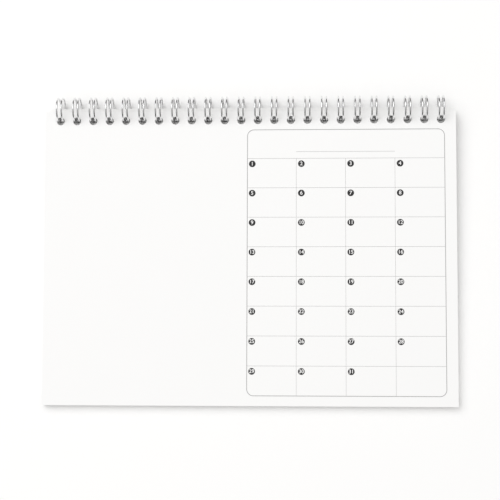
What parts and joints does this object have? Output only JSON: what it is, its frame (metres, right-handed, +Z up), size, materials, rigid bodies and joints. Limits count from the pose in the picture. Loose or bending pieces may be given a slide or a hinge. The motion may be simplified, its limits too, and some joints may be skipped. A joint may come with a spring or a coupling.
{
  "type": "wall calendar",
  "caption": "Landscape wall calendar pad on a card back, wire-bound along its top edge, with a ruled table of days printed on the right half of the top sheet.",
  "frame": {"origin": "on the table, under the middle of the calendar as it lies on its back", "axes": "+X along the binding towards the sheet's right edge, +Y towards the binding, +Z up, out of the printed face"},
  "size_m": [0.21, 0.1576, 0.0127],
  "materials": {
    "card": "smooth uncoated white card",
    "paper": "smooth uncoated white paper",
    "wire": "bright nickel plated steel wire",
    "line_ink": "matt light grey print on paper",
    "dot_ink": "matt dark grey print on paper"
  },
  "bodies": {
    "binding": {"twin_loop_wire": "wire"},
    "cover": {"back_board": "card"},
    "pages": {"month_sheets": "paper", "printed_table": "line_ink", "date_dots": "dot_ink"}
  },
  "joints": [
    {"name": "board_swing", "type": "hinge", "parent": "binding", "child": "cover", "pos_m": [0, 0.06818, 0.0023], "axis": [1, 0, 0], "range_deg": [0, 54.4]},
    {"name": "pages_turn", "type": "hinge", "parent": "binding", "child": "pages", "pos_m": [0, 0.07247, 0.00635], "axis": [-1, 0, 0], "range_deg": [0, 303]}
  ],
  "couplings": [
    {"joint": "board_swing", "follows": "pages_turn", "ratio": 0.1795}
  ]
}
